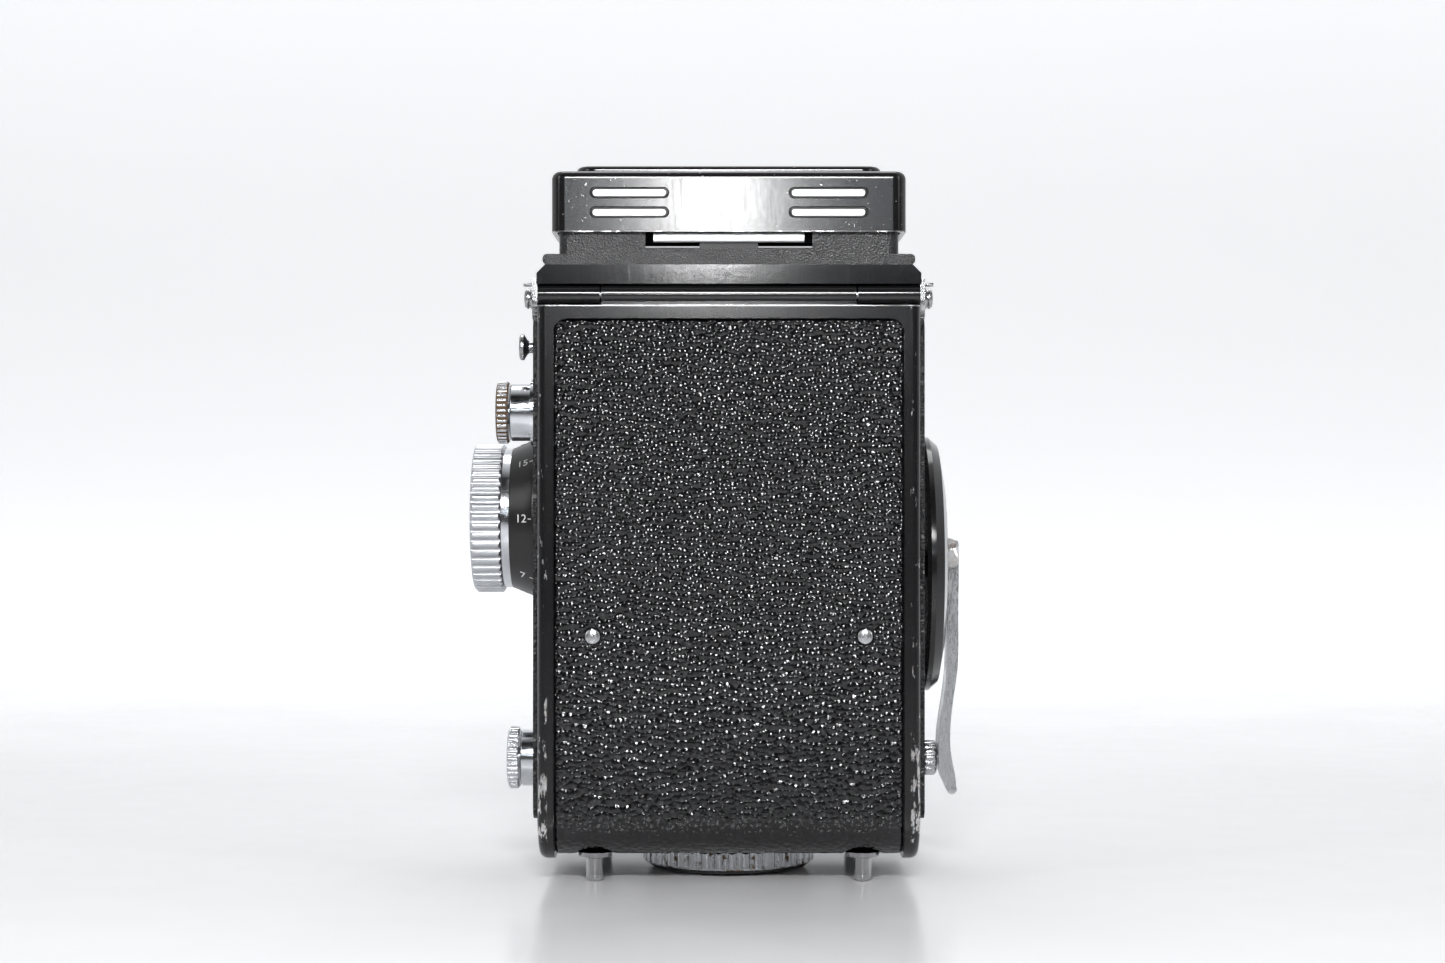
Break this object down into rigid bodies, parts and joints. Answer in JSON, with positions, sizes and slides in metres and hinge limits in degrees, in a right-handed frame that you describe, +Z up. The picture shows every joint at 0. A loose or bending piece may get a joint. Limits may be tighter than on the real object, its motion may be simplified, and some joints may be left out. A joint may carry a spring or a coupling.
{
  "type": "twin lens reflex camera",
  "caption": "Box-shaped roll-film camera with a viewing lens above a taking lens, a folding hood, a focus knob, a winding crank and a hinged back.",
  "frame": {"origin": "centre of the tripod socket's mouth, in the face of the lock dial under the camera", "axes": "+Z up; +Y towards the film door at the back, so the lenses face -Y; +X towards the focus knob side"},
  "size_m": [0.1048, 0.101, 0.1481],
  "materials": {
    "casting_black": "black enamel on light alloy",
    "door_black": "black enamel, worn along the rims",
    "board_black": "satin black enamel",
    "crackle_black": "wrinkle paint",
    "lid_black": "gloss black enamel",
    "flap_black": "matt black paint",
    "leather": "pebble grain",
    "inner_black": "matt black paint",
    "crank_black": "gloss black enamel",
    "scale_black": "satin black enamel with white figures",
    "dial_face_black": "satin black enamel",
    "satin_metal": "satin, fluted",
    "knurled_metal": "knurled, grimy in the grooves",
    "crank_metal": "satin, worn",
    "chrome": "polished",
    "trim_bright": "polished",
    "steel": "turned",
    "brass": "turned",
    "glass": "coated",
    "ground_glass": "ground",
    "mirror": "front silvered",
    "spool_black": "moulded"
  },
  "bodies": {
    "camera_body": {"body_casting": "casting_black", "focus_side_leather": "leather", "crank_side_leather": "leather", "front_leather": "leather", "door_hinge_pin": "steel", "light_baffle": "inner_black", "film_gate": "steel", "reflex_mirror": "mirror", "focusing_screen": "ground_glass", "strap_lugs": "satin_metal", "side_stud": "steel", "spool_knob_bushes": "chrome", "hood_frame": "crackle_black"},
    "back_door": {"back_door": "door_black", "back_leather": "leather", "door_screws": "steel", "pressure_spring": "steel", "feet": "steel", "tripod_bush": "steel"},
    "lock_dial": {"lock_dial": "knurled_metal", "lock_dial_face": "dial_face_black"},
    "pressure_plate": {"pressure_plate": "inner_black"},
    "lower_roller": {"lower_film_roller": "steel"},
    "upper_roller": {"upper_film_roller": "steel"},
    "take_up_spool": {"take_up_spool": "spool_black", "spool_gear": "brass"},
    "idler_gear": {"idler_gear": "brass"},
    "crank": {"crank_disc": "crank_black", "crank_gear": "brass", "crank_pin": "steel"},
    "crank_arm": {"crank_arm": "crank_metal"},
    "crank_handle": {"crank_handle": "crank_metal"},
    "upper_spool_knob": {"upper_spool_knob": "knurled_metal"},
    "lower_spool_knob": {"lower_spool_knob": "knurled_metal"},
    "focus_knob": {"focus_rim": "satin_metal", "focus_ring": "chrome", "focus_skirt": "scale_black", "focus_shaft": "steel", "focus_cam": "brass"},
    "lens_board": {"lens_board": "board_black", "focus_strut": "steel", "viewing_barrel": "satin_metal", "taking_barrel": "satin_metal", "viewing_glass": "glass", "taking_glass": "glass", "shutter_housing": "steel", "shutter_blades": "steel", "rear_lens_group": "inner_black", "flash_socket": "chrome"},
    "aperture_wheel": {"aperture_wheel": "knurled_metal"},
    "speed_wheel": {"speed_wheel": "knurled_metal"},
    "release_button": {"release_button": "chrome"},
    "hood_lid": {"hood_lid": "lid_black", "hood_trim": "trim_bright"},
    "side_flap_focus": {"hood_side_flap_focus": "flap_black"},
    "side_flap_crank": {"hood_side_flap_crank": "flap_black"},
    "rear_flap": {"hood_rear_flap": "flap_black"},
    "magnifier": {"magnifier_arm": "flap_black", "magnifier_lens": "glass"},
    "hood_latch": {"hood_latch": "trim_bright"}
  },
  "joints": [
    {"name": "door_hinge", "type": "hinge", "parent": "camera_body", "child": "back_door", "pos_m": [0, 0.0284, 0.1199], "axis": [1, 0, 0], "range_deg": [0, 100]},
    {"name": "lock_dial_turn", "type": "hinge", "parent": "back_door", "child": "lock_dial", "pos_m": [0, 0, 0], "axis": [0, 0, 1], "range_deg": [0, 90]},
    {"name": "pressure_plate_slide", "type": "slide", "parent": "back_door", "child": "pressure_plate", "axis": [0, 1, 0], "range_m": [0, 0.0006], "stiffness_N_per_m": 400, "springref_m": -0.001, "deforming": ["pressure_spring"]},
    {"name": "lower_roller_turn", "type": "hinge", "parent": "camera_body", "child": "lower_roller", "pos_m": [0, 0.0228, 0.0266], "axis": [1, 0, 0], "continuous": true},
    {"name": "upper_roller_turn", "type": "hinge", "parent": "camera_body", "child": "upper_roller", "pos_m": [0, 0.0228, 0.0884], "axis": [1, 0, 0], "continuous": true},
    {"name": "crank_turn", "type": "hinge", "parent": "camera_body", "child": "crank", "pos_m": [-0.043, -0.003, 0.0641], "axis": [1, 0, 0], "continuous": true},
    {"name": "idler_turn", "type": "hinge", "parent": "camera_body", "child": "idler_gear", "pos_m": [-0.0362, 0.00943, 0.0813], "axis": [1, 0, 0], "continuous": true},
    {"name": "take_up_turn", "type": "hinge", "parent": "camera_body", "child": "take_up_spool", "pos_m": [0, 0.012, 0.0963], "axis": [1, 0, 0], "continuous": true},
    {"name": "crank_arm_fold", "type": "hinge", "parent": "crank", "child": "crank_arm", "pos_m": [-0.0479, -0.003, 0.0681], "axis": [0, 1, 0], "range_deg": [0, 180]},
    {"name": "crank_handle_turn", "type": "hinge", "parent": "crank_arm", "child": "crank_handle", "pos_m": [-0.0432, -0.003, 0.0223], "axis": [1, 0, 0], "continuous": true},
    {"name": "upper_knob_pull", "type": "slide", "parent": "camera_body", "child": "upper_spool_knob", "axis": [1, 0, 0], "range_m": [0, 0.005], "stiffness_N_per_m": 400, "springref_m": -0.001},
    {"name": "lower_knob_pull", "type": "slide", "parent": "camera_body", "child": "lower_spool_knob", "axis": [1, 0, 0], "range_m": [0, 0.005], "stiffness_N_per_m": 400, "springref_m": -0.001},
    {"name": "focus_turn", "type": "hinge", "parent": "camera_body", "child": "focus_knob", "pos_m": [0.048, -0.0135, 0.0738], "axis": [1, 0, 0], "range_deg": [0, 300]},
    {"name": "focus_slide", "type": "slide", "parent": "camera_body", "child": "lens_board", "axis": [0, -1, 0], "range_m": [0, 0.0095]},
    {"name": "aperture_turn", "type": "hinge", "parent": "lens_board", "child": "aperture_wheel", "pos_m": [0.017, -0.052, 0.0785], "axis": [0, 1, 0], "range_deg": [0, 110]},
    {"name": "speed_turn", "type": "hinge", "parent": "lens_board", "child": "speed_wheel", "pos_m": [-0.017, -0.052, 0.0785], "axis": [0, 1, 0], "range_deg": [0, 220]},
    {"name": "release_press", "type": "slide", "parent": "lens_board", "child": "release_button", "axis": [0, 1, 0], "range_m": [0, 0.003], "stiffness_N_per_m": 300, "springref_m": -0.0005},
    {"name": "hood_lid_open", "type": "hinge", "parent": "camera_body", "child": "hood_lid", "pos_m": [0, -0.0299, 0.1358], "axis": [1, 0, 0], "range_deg": [0, 90]},
    {"name": "side_flap_focus_rise", "type": "hinge", "parent": "camera_body", "child": "side_flap_focus", "pos_m": [0.033, -0.003, 0.1344], "axis": [0, 1, 0], "range_deg": [0, 90]},
    {"name": "side_flap_crank_rise", "type": "hinge", "parent": "camera_body", "child": "side_flap_crank", "pos_m": [-0.033, -0.003, 0.1344], "axis": [0, -1, 0], "range_deg": [0, 90]},
    {"name": "rear_flap_rise", "type": "hinge", "parent": "camera_body", "child": "rear_flap", "pos_m": [0, 0.025, 0.1358], "axis": [-1, 0, 0], "range_deg": [0, 90]},
    {"name": "magnifier_swing", "type": "hinge", "parent": "hood_lid", "child": "magnifier", "pos_m": [0, 0.015, 0.1416], "axis": [1, 0, 0], "range_deg": [0, 90]},
    {"name": "hood_latch_press", "type": "slide", "parent": "camera_body", "child": "hood_latch", "axis": [0, -1, 0], "range_m": [0, 0.0012], "stiffness_N_per_m": 400, "springref_m": -0.001}
  ],
  "couplings": [
    {"joint": "idler_turn", "follows": "crank_turn", "ratio": -1.9444},
    {"joint": "take_up_turn", "follows": "crank_turn", "ratio": 1.75},
    {"joint": "focus_slide", "follows": "focus_turn", "m_per_rad": 0.001814},
    {"joint": "side_flap_focus_rise", "follows": "hood_lid_open", "ratio": 1},
    {"joint": "side_flap_crank_rise", "follows": "hood_lid_open", "ratio": 1},
    {"joint": "rear_flap_rise", "follows": "hood_lid_open", "ratio": 1},
    {"joint": "magnifier_swing", "follows": "hood_lid_open", "ratio": 1}
  ]
}
